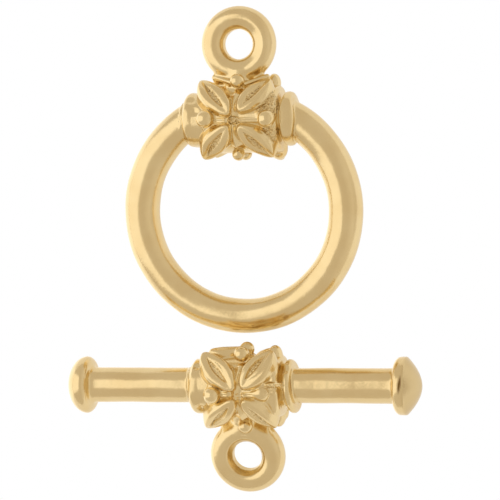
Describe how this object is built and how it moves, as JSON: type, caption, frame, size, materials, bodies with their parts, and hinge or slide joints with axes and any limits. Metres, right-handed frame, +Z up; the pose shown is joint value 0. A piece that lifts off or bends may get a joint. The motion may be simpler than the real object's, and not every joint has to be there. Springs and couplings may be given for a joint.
{
  "type": "toggle clasp",
  "caption": "Ring and bar halves of a jewellery toggle clasp in gold-plated metal, each with an eye and a wrap of leaves and beads.",
  "frame": {"origin": "on the surface that the clasp lies on, at the centre of the whole outline", "axes": "+Z up from the surface, +Y from the bar half to the ring half, along the longest side, X along the bar"},
  "size_m": [0.0242, 0.0322, 0.0057],
  "materials": {
    "gold_plate": "pale gold plate over cast metal, tumbled bright"
  },
  "bodies": {
    "root": {"ring_half": "gold_plate", "bar_half": "gold_plate"}
  },
  "joints": []
}
